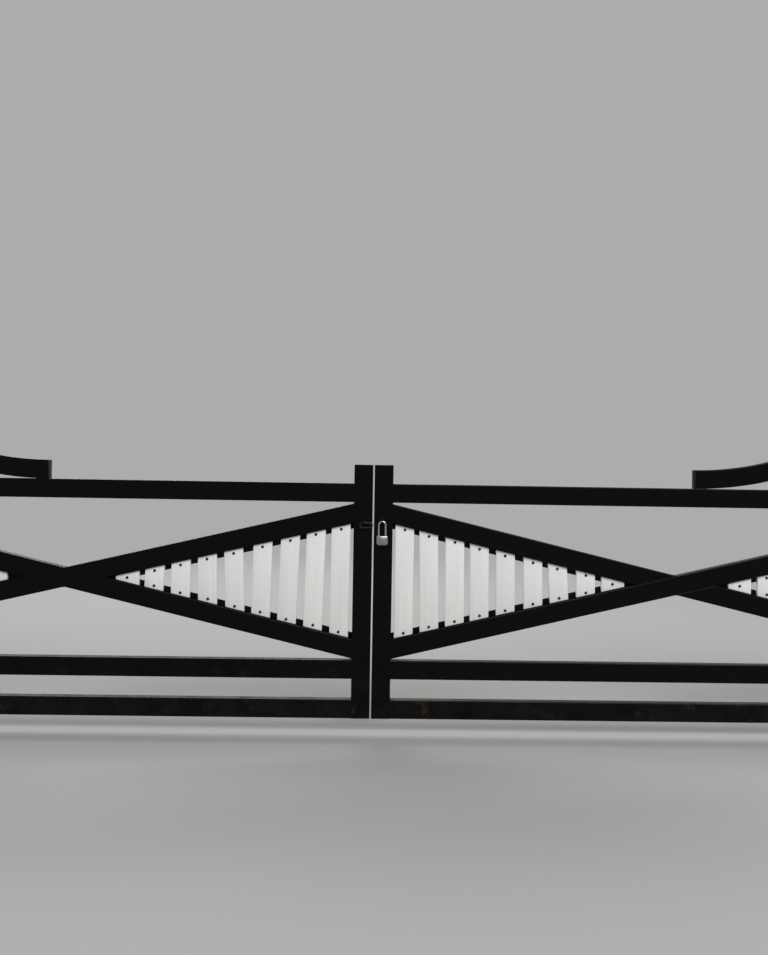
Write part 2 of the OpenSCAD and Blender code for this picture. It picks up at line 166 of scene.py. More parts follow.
@contextmanager
def editing(piece, kind):
    """Edit mode on one piece, selecting by FACE, EDGE or VERT."""
    activate(piece)
    bpy.ops.object.mode_set(mode="EDIT")
    bpy.ops.mesh.select_mode(type=kind)
    try:
        yield
    finally:
        bpy.ops.object.mode_set(mode="OBJECT")


def pick(piece, kind, test):
    """In edit mode, selects only the faces, edges or verts that pass a test."""
    mesh = bmesh.from_edit_mesh(piece.data)
    for group in (mesh.faces, mesh.edges, mesh.verts):
        for part in group:
            part.select = False
    for part in [part for part in getattr(mesh, kind) if test(part)]:
        part.select_set(True)
    bmesh.update_edit_mesh(piece.data, loop_triangles=False, destructive=False)


def runs(edge, axis, least):
    """Whether an edge reaches further than a length along an axis, 0 to 2."""
    return abs(edge.verts[0].co[axis] - edge.verts[1].co[axis]) > least


def name_active(name):
    piece = bpy.context.active_object
    piece.name = name
    piece.data.name = name
    return piece


def add(name, primitive, **settings):
    """Adds a primitive with nothing else selected, and puts its place into its mesh."""
    bpy.ops.object.select_all(action="DESELECT")
    primitive(**settings)
    piece = name_active(name)
    activate(piece)
    bpy.ops.object.transform_apply(location=True, rotation=True, scale=True)
    return piece


def cylinder(name, radius, depth, middle, axis=Z_AXIS, sides=32):
    turn = Z_AXIS.rotation_difference(axis).to_euler()
    return add(name, bpy.ops.mesh.primitive_cylinder_add, vertices=sides, radius=radius, depth=depth,
               location=middle, rotation=turn)


def block(name, low, high):
    """A box between two corners."""
    return add(name, bpy.ops.mesh.primitive_cube_add, size=1, location=(low + high) / 2, scale=high - low)


def modify(piece, kind, **settings):
    """Adds one modifier and applies it."""
    activate(piece)
    modifier = piece.modifiers.new(kind.title(), kind)
    for name, value in settings.items():
        setattr(modifier, name, value)
    bpy.ops.object.modifier_apply(modifier=modifier.name)


def ease(piece, width, segments=2, sharper_than=30):
    """Rounds the edges between faces that meet at more than an angle, in degrees."""
    modify(piece, "BEVEL", width=width, segments=segments, limit_method="ANGLE",
           angle_limit=math.radians(sharper_than), use_clamp_overlap=True)
    return smooth(piece)


def smooth(piece, angle=40):
    activate(piece)
    bpy.ops.object.shade_smooth_by_angle(angle=math.radians(angle))
    return piece


def cut(piece, tool):
    """Takes a tool's shape out of a piece, and removes the tool."""
    modify(piece, "BOOLEAN", operation="DIFFERENCE", object=tool, solver="EXACT")
    scrap(tool)


def scrap(*pieces):
    for piece in pieces:
        bpy.data.objects.remove(piece)


def copy_of(piece, place=None, name=None):
    """A copy with its own mesh, moved by a matrix."""
    twin = piece.copy()
    twin.data = piece.data.copy()
    if place is not None:
        twin.data.transform(place)
    if name:
        twin.name = name
    bpy.context.scene.collection.objects.link(twin)
    return twin


def join(name, pieces):
    bpy.ops.object.select_all(action="DESELECT")
    for piece in pieces:
        piece.select_set(True)
    bpy.context.view_layer.objects.active = pieces[0]
    bpy.ops.object.join()
    return name_active(name)


def solid_copy(node, name, flat=True):
    """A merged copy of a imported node, ready for modelling. Flat faces are made whole."""
    piece = copy_of(frame["nodes"][node], name=name)
    piece.parent = None
    for key in list(piece.keys()):
        del piece[key]
    with editing(piece, "VERT"):
        bpy.ops.mesh.customdata_custom_splitnormals_clear()
        bpy.ops.mesh.select_all(action="SELECT")
        bpy.ops.mesh.remove_doubles(threshold=MERGE)
        if flat:
            bpy.ops.mesh.dissolve_limited(angle_limit=math.radians(0.4))
    return piece


def placed(middle, along, across):
    """The matrix that turns local X to along and local Y to across, and moves the origin to middle."""
    third = along.cross(across)
    return Matrix.Translation(middle) @ Matrix((along, across, third)).transposed().to_4x4()


# Materials

class Wire:
    """An output socket, on which arithmetic adds Math nodes."""

    def __init__(self, shader, socket):
        self.shader = shader
        self.socket = socket

    def __add__(self, other):
        return self.shader.maths("ADD", self, other)

    __radd__ = __add__

    def __sub__(self, other):
        return self.shader.maths("SUBTRACT", self, other)

    def __rsub__(self, other):
        return self.shader.maths("SUBTRACT", other, self)

    def __mul__(self, other):
        return self.shader.maths("MULTIPLY", self, other)

    __rmul__ = __mul__


def rgba(value):
    """A colour as a colour socket takes it. A wire stays as it is."""
    return value if isinstance(value, Wire) else (*value, 1.0)


class Shader:
    """The nodes of one material, or of the world."""

    def __init__(self, owner):
        owner.use_nodes = True
        self.owner = owner
        self.tree = owner.node_tree
        self.tree.nodes.clear()

    def node(self, kind, settings=None, output=0, **inputs):
        """Adds a node, with its settings first and then its sockets' values or links."""
        node = self.tree.nodes.new(kind)
        for name, value in (settings or {}).items():
            setattr(node, name, value)
        for name, value in inputs.items():
            key = int(name[1:]) if name[0] == "i" and name[1:].isdigit() else name.replace("_", " ")
            socket = node.inputs[key]
            if isinstance(value, Wire):
                self.tree.links.new(value.socket, socket)
            else:
                socket.default_value = value
        return Wire(self, node.outputs[output]) if node.outputs else None

    def maths(self, operation, first, second):
        return self.node("ShaderNodeMath", {"operation": operation}, i0=first, i1=second)

    def place(self):
        return self.node("ShaderNodeTexCoord", output="Object")

    def height(self, vector):
        """A vector's Z."""
        return self.node("ShaderNodeSeparateXYZ", output="Z", Vector=vector)

    def upward(self):
        """How far a surface faces up, from -1 to 1."""
        return self.height(self.node("ShaderNodeTexCoord", output="Normal"))

    def stretched(self, vector, x, y, z):
        return self.node("ShaderNodeVectorMath", {"operation": "MULTIPLY"}, i0=vector, i1=(x, y, z))

    def noise(self, vector, scale, detail, roughness=0.5):
        return self.node("ShaderNodeTexNoise", output="Fac", Vector=vector, Scale=scale, Detail=detail,
                         Roughness=roughness)

    def step(self, value, low, high):
        """A smooth step from 0 at low to 1 at high."""
        return self.node("ShaderNodeMapRange", {"interpolation_type": "SMOOTHSTEP", "clamp": True},
                         Value=value, i1=low, i2=high, i3=0.0, i4=1.0)

    def mix(self, factor, first, second):
        """Two colours mixed by a factor."""
        return self.node("ShaderNodeMix", {"data_type": "RGBA", "clamp_factor": True}, output=2,
                         i0=factor, i6=rgba(first), i7=rgba(second))

    def tint(self, factor, base):
        """A colour made lighter or darker by a varying factor."""
        return self.node("ShaderNodeVectorMath", {"operation": "SCALE"}, i0=tuple(base), Scale=factor)

    def bump(self, height, distance, strength, **under):
        """Relief from a height, over another relief where one is given as Normal."""
        return self.node("ShaderNodeBump", Height=height, Distance=distance, Strength=strength, **under)

    def surface(self, base, **inputs):
        """A Principled surface. Constant values go straight to its sockets."""
        self.show(self.node("ShaderNodeBsdfPrincipled", Base_Color=rgba(base), **inputs))

    def show(self, shaded):
        """Leads a shader to the output."""
        kind = "World" if isinstance(self.owner, bpy.types.World) else "Material"
        self.node("ShaderNodeOutput" + kind, Surface=shaded)


def gloss_black(s, top_dust, low_tint_height, scuff=0.0):
    """Gloss black paint with dust on what faces up, a brown tint low down, and scuffed places. The brown
    tint is partly a film of dust and dried splashes, and partly a painted reflection of the earthen ground.
    """
    paint = bpy.context.scene.gate_paint
    place = s.place()
    clouds = s.noise(place, 7.0, 4.0, 0.6)
    specks = s.noise(place, 160.0, 3.0, 0.65)
    resting = s.step(s.upward(), 0.55, 1.0) * s.step(clouds, 0.3, 0.75) * top_dust
    # Low down, the brown film and splashes are partly real dust and partly a painted reflection of the
    # earthen ground in the gloss paint
    low = 1.0 - s.step(s.height(place), 0.0, low_tint_height)
    film = low * s.step(clouds + 0.5 * specks, 0.5, 1.0) * paint.film
    patches = s.step(s.noise(place, 8.0, 5.0, 0.68), 0.56, 0.7)
    splashes_and_ground_reflection = low * patches * s.step(specks, 0.38, 0.6) * paint.splash
    dust = resting + film + splashes_and_ground_reflection
    dusty = s.mix(dust, paint.black, paint.earth)
    peel = s.noise(place, 420.0, 2.0)
    waves = s.noise(place, 11.0, 1.0)
    relief = s.bump(peel, 0.00004, 0.5, Normal=s.bump(waves, 0.0012, 0.35))
    streaks = s.noise(s.stretched(place, 22, 22, 1.2), 1.0, 3.0)
    roughness = paint.roughness + 0.16 * clouds + 0.1 * s.step(streaks, 0.4, 0.8) + 0.9 * dust
    if scuff:
        rubbed = s.step(s.noise(place, 60.0, 5.0, 0.65), 0.3, 0.75) * scuff
        dusty = s.mix(rubbed, dusty, paint.scuffed)
        roughness = roughness + 0.8 * rubbed
    s.surface(dusty, Roughness=roughness, Specular_IOR_Level=paint.gloss, Normal=relief)


def worn_steel(s):
    """Bare steel where a hinge pin turns in its eye."""
    paint = bpy.context.scene.gate_paint
    place = s.place()
    rings = s.noise(s.stretched(place, 12, 12, 900), 1.0, 2.0)
    stain = s.noise(place, 90.0, 4.0, 0.6)
    s.surface(s.mix(s.step(stain, 0.45, 0.75), paint.steel, paint.stain), Metallic=1.0,
              Roughness=0.3 + 0.3 * stain, Normal=s.bump(rings, 0.00005, 0.4))


def painted_board(s):
    """White paint over sawn boards: grain along the board, a tone of its own for each, and faint dirt."""
    slats = bpy.context.scene.gate_slats
    place = s.place()
    board = s.node("ShaderNodeAttribute", {"attribute_name": "board"}, output="Fac")
    moved = s.node("ShaderNodeVectorMath", {"operation": "ADD"}, i0=place,
                   i1=s.node("ShaderNodeCombineXYZ", X=board * 3.7, Y=board * 1.9, Z=board * 5.3))
    grain = s.noise(s.stretched(moved, 150, 150, 3.2), 1.0, 4.0, 0.55)
    bands = s.noise(s.stretched(moved, 42, 42, 1.4), 1.0, 2.0)
    fibres = s.noise(s.stretched(moved, 700, 700, 20), 1.0, 2.0)
    dirt = s.noise(moved, 26.0, 4.0, 0.6)
    tone = 0.965 + 0.06 * board + 0.13 * (bands - 0.5) + 0.15 * (grain - 0.5) - 0.1 * s.step(dirt, 0.58, 0.8)
    low = 1.0 - s.step(s.height(place), 0.45, 0.8)
    dusty = s.mix(low * s.step(dirt, 0.4, 0.7) * 0.12, s.tint(tone, slats.white), slats.dust)
    relief = s.bump(fibres, 0.0001, 0.4, Normal=s.bump(grain, 0.0005, 0.5))
    s.surface(dusty, Roughness=0.42 + 0.16 * dirt, Specular_IOR_Level=0.4, Normal=relief)


def dark_screw(s):
    """The screws' dark coating, worn in spots."""
    slats = bpy.context.scene.gate_slats
    worn = s.noise(s.place(), 400.0, 3.0)
    s.surface(s.mix(s.step(worn, 0.55, 0.8), slats.screw, slats.worn_screw), Metallic=0.5,
              Roughness=0.32 + 0.25 * worn)


def satin_case(s):
    """The padlock's satin silver case, finely brushed along its height."""
    place = s.place()
    brushed = s.noise(s.stretched(place, 4200, 4200, 90), 1.0, 3.0)
    marks = s.noise(place, 130.0, 5.0, 0.7)
    tone = 0.93 + 0.14 * (brushed - 0.5) - 0.2 * s.step(marks, 0.58, 0.75)
    s.surface(s.tint(tone, bpy.context.scene.gate_padlock.case), Metallic=1.0,
              Roughness=0.22 + 0.2 * brushed, Normal=s.bump(brushed, 0.00003, 0.5))


def bright_chrome(s):
    """The shackle's chrome, with dull marks from use."""
    marks = s.noise(s.place(), 220.0, 4.0, 0.65)
    s.surface(bpy.context.scene.gate_padlock.chrome, Metallic=1.0,
              Roughness=0.08 + 0.22 * s.step(marks, 0.5, 0.8))


FINISHES = {
    "gloss_black_tube": partial(gloss_black, top_dust=0.07, low_tint_height=0.45),
    "gloss_black_post": partial(gloss_black, top_dust=0.07, low_tint_height=0.3),
    "black_fitting": partial(gloss_black, top_dust=0.05, low_tint_height=0.3, scuff=0.05),
    "worn_latch": partial(gloss_black, top_dust=0.04, low_tint_height=0.3, scuff=0.42),
    "worn_steel": worn_steel,
    "white_board": painted_board,
    "dark_screw": dark_screw,
    "satin_case": satin_case,
    "bright_chrome": bright_chrome,
}


def material(finish):
    """The material of a finish, made when it is first needed."""
    made = bpy.data.materials.get(finish)
    if not made:
        made = bpy.data.materials.new(finish)
        FINISHES[finish](Shader(made))
    return made


def finish_piece(piece, body, slot, *finishes, node=None):
    """Gives a piece its finishes, the body that it rides on and the node that it stands for. The slot
    argument is not used.
    """
    piece.data.materials.clear()
    for finish in finishes:
        piece.data.materials.append(material(finish))
    if node:
        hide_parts(node)
    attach(piece, body)


def paint_node(node, finish):
    """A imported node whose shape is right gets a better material."""
    frame["nodes"][node].material_slots[0].material = material(finish)


# Places on a leaf

class Leaf:
    """Where a leaf's tubes meet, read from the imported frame."""

    def __init__(self, side):
        self.side = side
        self.body = side + "_leaf"
        self.way = -1 if side == "left" else 1
        low, high = self.box("meeting_stile")
        self.edge = high.x if side == "left" else low.x
        self.tube = high.x - low.x
        self.depth = high.y - low.y
        low, high = self.box("hinge_stile")
        self.width = max(abs(low.x - self.edge), abs(high.x - self.edge))
        self.clear = self.width - 2 * self.tube
        level = (self.box("top_rail")[0].z + self.box("lower_rail")[1].z) / 2
        self.middle = self.at(self.width / 2, 0, level)
        low, high = self.box("long_brace")
        # A brace's upright cut grows with its slope, so both are settled round by round
        self.slope = 0.0
        for _ in range(20):
            rise = high.z - low.z - self.tube / math.cos(self.slope)
            self.slope = math.atan2(rise, self.clear)

    def box(self, part):
        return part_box(self.side + "_" + part)

    def at(self, u, y, z):
        """The point at a distance u from the leaf's meeting edge."""
        return Vector((self.edge + self.way * u, y, z))

    def along(self, angle):
        """The direction that rises by an angle on the way to the hinges."""
        return Vector((self.way * math.cos(angle), 0, math.sin(angle)))


# Slats and their screws

THREAD_PITCH = 0.0016
THREAD_ROOT, TAPER, POINT = 0.78, 0.6, 0.15     # share of its width that a row of the shank keeps


def islands(mesh):
    """The vertices of each separate solid in a mesh, as lists of indices, in order along X."""
    group = list(range(len(mesh.vertices)))

    def root(i):
        while group[i] != i:
            group[i] = group[group[i]]
            i = group[i]
        return i
    for edge in mesh.edges:
        a, b = (root(i) for i in edge.vertices)
        group[a] = b
    found = {}
    for i in range(len(group)):
        found.setdefault(root(i), []).append(i)
    return sorted(found.values(), key=lambda ids: min(mesh.vertices[i].co.x for i in ids))


def slat_ends(mesh, ids):
    """The middle of the upper and the lower end of one slat's front face, and the front's middle."""
    behind_front = min(mesh.vertices[i].co.y for i in ids) + 0.001
    face = [mesh.vertices[i].co.copy() for i in ids if mesh.vertices[i].co.y < behind_front]
    middle = sum(face, Vector()) / len(face)
    upper = sorted((p for p in face if p.z > middle.z), key=lambda p: p.x)
    lower = sorted((p for p in face if p.z <= middle.z), key=lambda p: p.x)
    return (upper[0] + upper[-1]) / 2, (lower[0] + lower[-1]) / 2, middle


def board_tones(piece, rng):
    """Writes one value from 0 to 1 on each slat, which its tone and its grain follow."""
    tone = piece.data.attributes.new("board", "FLOAT", "POINT")
    for ids in islands(piece.data):
        value = rng.random()
        for i in ids:
            tone.data[i].value = value


def step_face(piece, *steps):
    """Insets a screw part's outer face step by step, and moves what is inside along Y."""
    with editing(piece, "FACE"):
        pick(piece, "faces", lambda f: f.normal.y < -0.9)
        for inset, shift in steps:
            bpy.ops.mesh.inset(thickness=inset)
            bpy.ops.transform.translate(value=(0, shift, 0))


def screw_model(slats, grip):
    """A hex washer head screw along Y, with its flange's underside at the origin."""
    radius, height = slats.flange_radius, slats.flange_height
    flange = cylinder("flange", radius, height, (0, -height / 2, 0), Y_AXIS, sides=20)
    step_face(flange, (radius * 0.12, -height * 0.35))
    top = -height * 1.3     # just under the flange's raised middle
    radius, height = slats.hex_radius, slats.hex_height
    head = cylinder("hex", radius, height, (0, top - height / 2, 0), Y_AXIS, sides=6)
    step_face(head, (radius * 0.2, -height * 0.1), (radius * 0.25, height * 0.18))
    depth = grip + slats.shank_over
    shank = cylinder("shank", slats.shank_radius, depth, (0, depth / 2, 0), Y_AXIS, sides=8)
    turns = round(depth / THREAD_PITCH)
    step = depth / (turns + 1)
    rows = ((THREAD_ROOT, lambda y: round(y / step) % 2 == 1),
            (TAPER, lambda y: y > depth - step * 3),
            (POINT, lambda y: y > depth - step / 2))
    with editing(shank, "EDGE"):
        pick(shank, "edges", lambda e: runs(e, 1, depth / 2))
        bpy.ops.mesh.subdivide(number_cuts=turns)
        for narrow, on_row in rows:
            pick(shank, "verts", lambda v: on_row(v.co.y))
            bpy.ops.transform.resize(value=(narrow, 1, narrow), center_override=(0, 0, 0))
    return smooth(join("screw", [flange, head, shank]), 35)


class GATE_OT_slats(bpy.types.Operator):
    """Models the white slats with eased edges, and the screws that hold them"""
    bl_idname = "gate.slats"
    bl_label = "Slats and Screws"

    def execute(self, context):
        slats = context.scene.gate_slats
        rng = random.Random(21)
        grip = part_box("left_inner_slat_bars")[1].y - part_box("left_inner_slats")[0].y
        screw = screw_model(slats, grip)
        for side in SIDES:
            screws = []
            for bay in ("inner", "outer"):
                node = f"{side}_{bay}_slats"
                boards = solid_copy(node, f"{side}_{bay}_boards")
                for ids in islands(boards.data):
                    screws += self.place_screws(screw, boards.data, ids, slats, rng)
                ease(boards, slats.edge, segments=3)
                board_tones(boards, rng)
                finish_piece(boards, side + "_leaf", "white_slats", "white_board", node=node)
            held = join(f"{side}_leaf_screws", screws)
            finish_piece(held, side + "_leaf", "black_fittings", "dark_screw")
        scrap(screw)
        return {"FINISHED"}

    def place_screws(self, screw, mesh, ids, slats, rng):
        """One screw near each end of a slat, or one in the middle of a tip piece."""
        upper, lower, middle = slat_ends(mesh, ids)
        down = (lower - upper).normalized()
        spots = [middle]
        if (upper - lower).length > 4 * slats.screw_inset:
            spots = [upper + down * slats.screw_inset, lower - down * slats.screw_inset]
        made = []
        for spot in spots:
            shift = Vector((rng.uniform(-1, 1), 0, rng.uniform(-1, 1))) * slats.screw_shift
            turn = Matrix.Rotation(rng.uniform(0, math.tau), 4, "Y")
            made.append(copy_of(screw, Matrix.Translation(spot + shift) @ turn))
        return made


# Weld beads

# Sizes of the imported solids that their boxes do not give
BRACKET_RIB = 0.045     # height of the stiffener under a hinge bracket
BRACKET_PLATE = 0.014   # thickness of a hinge bracket's plate
RIB_HALF = 0.004        # half the thickness of a stiffener
RIB_REACH = 0.06        # how far a base plate's stiffener reaches from the post
LATCH_BAR = 0.011       # thickness of the latch loop's bar

# Sizes of the beads
TUBE_CORNER, POST_CORNER = 0.004, 0.009     # corner radius round a tube's end and round a post's foot
BEAD_INSIDE = 0.001     # how far inside the stile a bead's middle lies
FOOT_OUT = 0.001        # how much further out the bead round a post's foot lies
NECK_FOOT = 0.06        # length of the beads along the swan neck's foot
THIN = 0.8              # radius of a stiffener's bead, as a share of the small radius
END_TAPER = 0.45        # radius at the ends of a straight bead, as a share of its radius
BAR_CORNER = 0.45       # corner radius round a bar, as a share of its thickness


def ring_count(run):
    """How many rings cut a straight run of a bead. One subdivide makes 100 at most."""
    return max(1, min(100, round(run / bpy.context.scene.gate_weld.pitch)))


def on_odd_ring(place, run):
    """Whether a place, from the middle of a run, is on an odd ring."""
    step = run / (ring_count(run) + 1)
    return round((place + run / 2) / step) % 2 == 1


def ripple(bead, test):
    """Draws in a bead's vertices that pass a test."""
    with editing(bead, "VERT"):
        pick(bead, "verts", test)
        bpy.ops.transform.shrink_fatten(value=-bpy.context.scene.gate_weld.ripple)
    return smooth(bead, 60)


def weld_run(run, radius):
    """A straight bead along X, with tapered ends."""
    bead = cylinder("bead", radius, run, (0, 0, 0), X_AXIS, sides=8)
    rings = ring_count(run)
    step = run / (rings + 1)
    with editing(bead, "EDGE"):
        pick(bead, "edges", lambda e: runs(e, 0, run / 2))
        bpy.ops.mesh.subdivide(number_cuts=rings)
        pick(bead, "verts", lambda v: abs(v.co.x) > run / 2 - step / 2)
        bpy.ops.transform.resize(value=(1, END_TAPER, END_TAPER), center_override=(0, 0, 0))
    return ripple(bead, lambda v: on_odd_ring(v.co.x, run))


def weld_loop(long, wide, corner, radius):
    """A closed bead round a rectangle in the XY plane, with round corners."""
    half = Vector((long / 2, wide / 2, 0))
    heading, spot = Y_AXIS, Vector((half.x, corner - half.y, 0))
    bead = add("bead", bpy.ops.mesh.primitive_circle_add, vertices=8, radius=radius, location=spot,
               rotation=(math.pi / 2, 0, 0))
    with editing(bead, "EDGE"):
        bpy.ops.mesh.select_all(action="SELECT")
        for side in (wide, long, wide, long):
            ahead = heading * (side - 2 * corner)
            spot = spot + ahead
            bpy.ops.mesh.extrude_region_move(TRANSFORM_OT_translate={"value": ahead})
            left = Vector((-heading.y, heading.x, 0))
            bpy.ops.mesh.spin(steps=3, angle=-math.pi / 2, center=spot + left * corner, axis=(0, 0, 1))
            spot = spot + (left + heading) * corner
            heading = left
        bpy.ops.mesh.select_all(action="SELECT")
        bpy.ops.mesh.remove_doubles(threshold=corner / 20)
        for axis, side in ((0, long), (1, wide)):
            run = side - 2 * corner
            pick(bead, "edges", lambda e: runs(e, axis, run * 0.98)
                 and all(abs(v.co[axis]) < run * 0.51 for v in e.verts))
            bpy.ops.mesh.subdivide(number_cuts=ring_count(run))
        bpy.ops.mesh.select_all(action="SELECT")
        bpy.ops.mesh.normals_make_consistent(inside=False)

    def on_straight_ring(v):
        """Whether a vertex is on an odd ring of a straight."""
        for axis, side, other in ((0, long, wide), (1, wide, long)):
            run = side - 2 * corner
            if abs(v.co[1 - axis]) > other / 2 - corner and abs(v.co[axis]) < run / 2:
                return on_odd_ring(v.co[axis], run)
        return False
    return ripple(bead, on_straight_ring)


class GATE_OT_welds(bpy.types.Operator):
    """Lays the weld beads round every tube end, plate and fitting"""
    bl_idname = "gate.welds"
    bl_label = "Weld Beads"

    def execute(self, context):
        weld = context.scene.gate_weld
        self.models = {}
        for side in SIDES:
            leaf = Leaf(side)
            self.beads = []
            for lay in (self.tube_ends, self.crossing, self.neck_foot, self.stitches, self.fittings):
                lay(leaf, weld)
            joined = join(f"{side}_leaf_welds", self.beads)
            finish_piece(joined, leaf.body, "black_leaf_paint", "gloss_black_tube")
        self.beads = []
        self.posts(weld)
        finish_piece(join("post_welds", self.beads), "posts", "black_posts", "gloss_black_post")
        scrap(*self.models.values())
        return {"FINISHED"}

    def bead(self, model, place, *sizes):
        """Lays a bead at a place. One of each size is modelled, and the others are copies."""
        key = (model, *(round(size, 5) for size in sizes))
        if key not in self.models:
            self.models[key] = model(*sizes)
        self.beads.append(copy_of(self.models[key], place))

    def tube_loop(self, leaf, weld, spot, up, height, proud):
        """The bead round a tube's end, sunk so that only its crown shows."""
        sunk = 2 * (weld.radius - proud)
        self.bead(weld_loop, placed(spot, up, Y_AXIS), height - sunk, leaf.depth - sunk, TUBE_CORNER,
                  weld.radius)

    def plate_loop(self, spot, across, height, width, radius, corner=None):
        """A closed bead on an upright face, round a plate or a bar that stands on it."""
        self.bead(weld_loop, placed(Vector(spot), Z_AXIS, across), height, width, corner or radius, radius)

    def tube_ends(self, leaf, weld):
        """The beads round the ends of the rails, the braces and the swan neck at the stiles."""
        for u, end in ((leaf.tube - BEAD_INSIDE, -1), (leaf.width - leaf.tube + BEAD_INSIDE, 1)):
            ends = []
            for rail in ("top_rail", "lower_rail", "bottom_rail"):
                low, high = leaf.box(rail)
                ends.append(((low.z + high.z) / 2, high.z - low.z))
            for rise in (-1, 1):
                drop = rise * end * leaf.clear / 2 * math.tan(leaf.slope)
                ends.append((leaf.middle.z + drop, leaf.tube / math.cos(leaf.slope)))
            if end == 1:
                ends.append((leaf.box("swan_neck")[1].z - leaf.tube / 2, leaf.tube))
            for z, height in ends:
                self.tube_loop(leaf, weld, leaf.at(u, 0, z), Z_AXIS, height, weld.proud)

    def crossing(self, leaf, weld):
        """The beads round the cut brace, on the upper and the lower face of the whole one."""
        reach = leaf.tube / 2 / math.sin(2 * leaf.slope)
        for side in (-1, 1):
            spot = leaf.middle + leaf.along(-leaf.slope) * side * reach
            self.tube_loop(leaf, weld, spot, leaf.along(leaf.slope), 2 * reach - weld.radius, weld.ground)

    def neck_foot(self, leaf, weld):
        """The beads along both sides of the swan neck's foot and under its cut end."""
        low, high = leaf.box("swan_neck")
        start = min(abs(low.x - leaf.edge), abs(high.x - leaf.edge))
        side = leaf.depth / 2 - weld.radius + weld.proud / 2
        for y in (-side, side):
            spot = leaf.at(start + NECK_FOOT / 2, y, low.z)
            self.bead(weld_run, placed(spot, X_AXIS, Y_AXIS), NECK_FOOT, weld.radius)
        under = placed(leaf.at(start - weld.radius, 0, low.z), Y_AXIS, X_AXIS)
        self.bead(weld_run, under, leaf.depth - 3 * weld.radius, weld.small_radius)

    def stitches(self, leaf, weld):
        """Short beads behind the slats, between each flat bar and its brace, and where two bars meet."""
        back = leaf.box("inner_slat_bars")[1].y
        half = leaf.tube / 2 / math.cos(leaf.slope)
        apex = leaf.tube / 2 / math.sin(leaf.slope)
        bay = leaf.clear / 2 - apex
        for bay_end in (-1, 1):
            spot = leaf.at(leaf.width / 2 + bay_end * (apex + weld.seam / 2), back, leaf.middle.z)
            self.bead(weld_run, placed(spot, X_AXIS, Y_AXIS), weld.seam, weld.small_radius)
            for upper in (-1, 1):
                along = leaf.along(bay_end * upper * leaf.slope)
                for i in range(weld.stitch_count):
                    out = leaf.clear / 2 - bay * (i + 0.5) / weld.stitch_count
                    rise = out * math.tan(leaf.slope) - half
                    spot = leaf.at(leaf.width / 2 + bay_end * out, back, leaf.middle.z + upper * rise)
                    self.bead(weld_run, placed(spot, along, Y_AXIS), weld.stitch, weld.small_radius)

    def fittings(self, leaf, weld):
        """The beads round the hinge eyes' plates, and the latch or the lock eye."""
        small = weld.small_radius
        stile = leaf.at(leaf.width, 0, 0).x
        for eye in ("upper_hinge_eye", "lower_hinge_eye"):
            low, high = leaf.box(eye)
            width = high.y - low.y - 2 * small
            self.plate_loop((stile, 0, (low.z + high.z) / 2), Y_AXIS, high.z - low.z, width, small)
        front = -leaf.depth / 2
        if leaf.side == "right":
            low, high = leaf.box("lock_eye")
            spot = ((low.x + high.x) / 2, front, (low.z + high.z) / 2)
            self.plate_loop(spot, X_AXIS, high.z - low.z, high.x - low.x, small)
        else:
            low, high = leaf.box("latch_loop")
            for z in (low.z + LATCH_BAR / 2, high.z - LATCH_BAR / 2):
                spot = ((low.x + high.x) / 2, front, z)
                self.plate_loop(spot, X_AXIS, LATCH_BAR, LATCH_BAR, small, LATCH_BAR * BAR_CORNER)

    def posts(self, weld):
        """The beads round the posts' feet, their stiffeners and the hinge brackets."""
        small = weld.small_radius
        for side in SIDES:
            low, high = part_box(side + "_post")
            middle = Vector(((low.x + high.x) / 2, 0, low.z))
            sunk = 2 * (weld.radius - weld.proud - FOOT_OUT)
            self.bead(weld_loop, placed(middle, X_AXIS, Y_AXIS), high.x - low.x - sunk,
                      high.y - low.y - sunk, POST_CORNER, weld.radius)
            face = high.x if side == "left" else low.x
            for pin in ("upper_hinge_pin", "lower_hinge_pin"):
                foot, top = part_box(f"{side}_{pin}")
                spot = (face, 0, foot.z + BRACKET_RIB + BRACKET_PLATE / 2)
                self.plate_loop(spot, Y_AXIS, BRACKET_PLATE, top.y - foot.y, small)
                for edge in (-RIB_HALF, RIB_HALF):
                    spot = Vector((face, edge, foot.z + BRACKET_RIB / 2))
                    self.bead(weld_run, placed(spot, Z_AXIS, Y_AXIS), BRACKET_RIB, small * THIN)
            self.stiffeners(side, middle, (high.x - low.x) / 2, small * THIN)

    def stiffeners(self, side, middle, half, thin):
        """The beads along the stiffeners of one base plate."""
        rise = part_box(side + "_base_plate")[1].z - middle.z
        for quarter in range(4):
            turn = Matrix.Translation(middle) @ Matrix.Rotation(quarter * math.pi / 2, 4, "Z")
            for edge in (-RIB_HALF, RIB_HALF):
                upright = placed(Vector((half, edge, rise / 2)), Z_AXIS, Y_AXIS)
                flat = placed(Vector((half + RIB_REACH / 2, edge, 0)), X_AXIS, Y_AXIS)
                self.bead(weld_run, turn @ upright, rise, thin)
                self.bead(weld_run, turn @ flat, RIB_REACH, thin)


# The painted frame

class GATE_OT_tubes(bpy.types.Operator):
    """Paints the leaves' tubes, and eases the end plates and the flat bars"""
    bl_idname = "gate.tubes"
    bl_label = "Tubes and Flat Bars"

    def execute(self, context):
        edge = context.scene.gate_paint.edge * 0.7
        tubes = ("meeting_stile", "hinge_stile", "top_rail", "lower_rail", "bottom_rail", "long_brace",
                 "split_brace", "swan_neck")
        plates = (("tube_caps", "end_plates"), ("inner_slat_bars", "inner_flat_bars"),
                  ("outer_slat_bars", "outer_flat_bars"))
        for side in SIDES:
            for tube in tubes:
                paint_node(f"{side}_{tube}", "gloss_black_tube")
            for part, made in plates:
                node = f"{side}_{part}"
                piece = ease(solid_copy(node, f"{side}_{made}"), edge)
                finish_piece(piece, side + "_leaf", "black_leaf_paint", "gloss_black_tube", node=node)
        return {"FINISHED"}


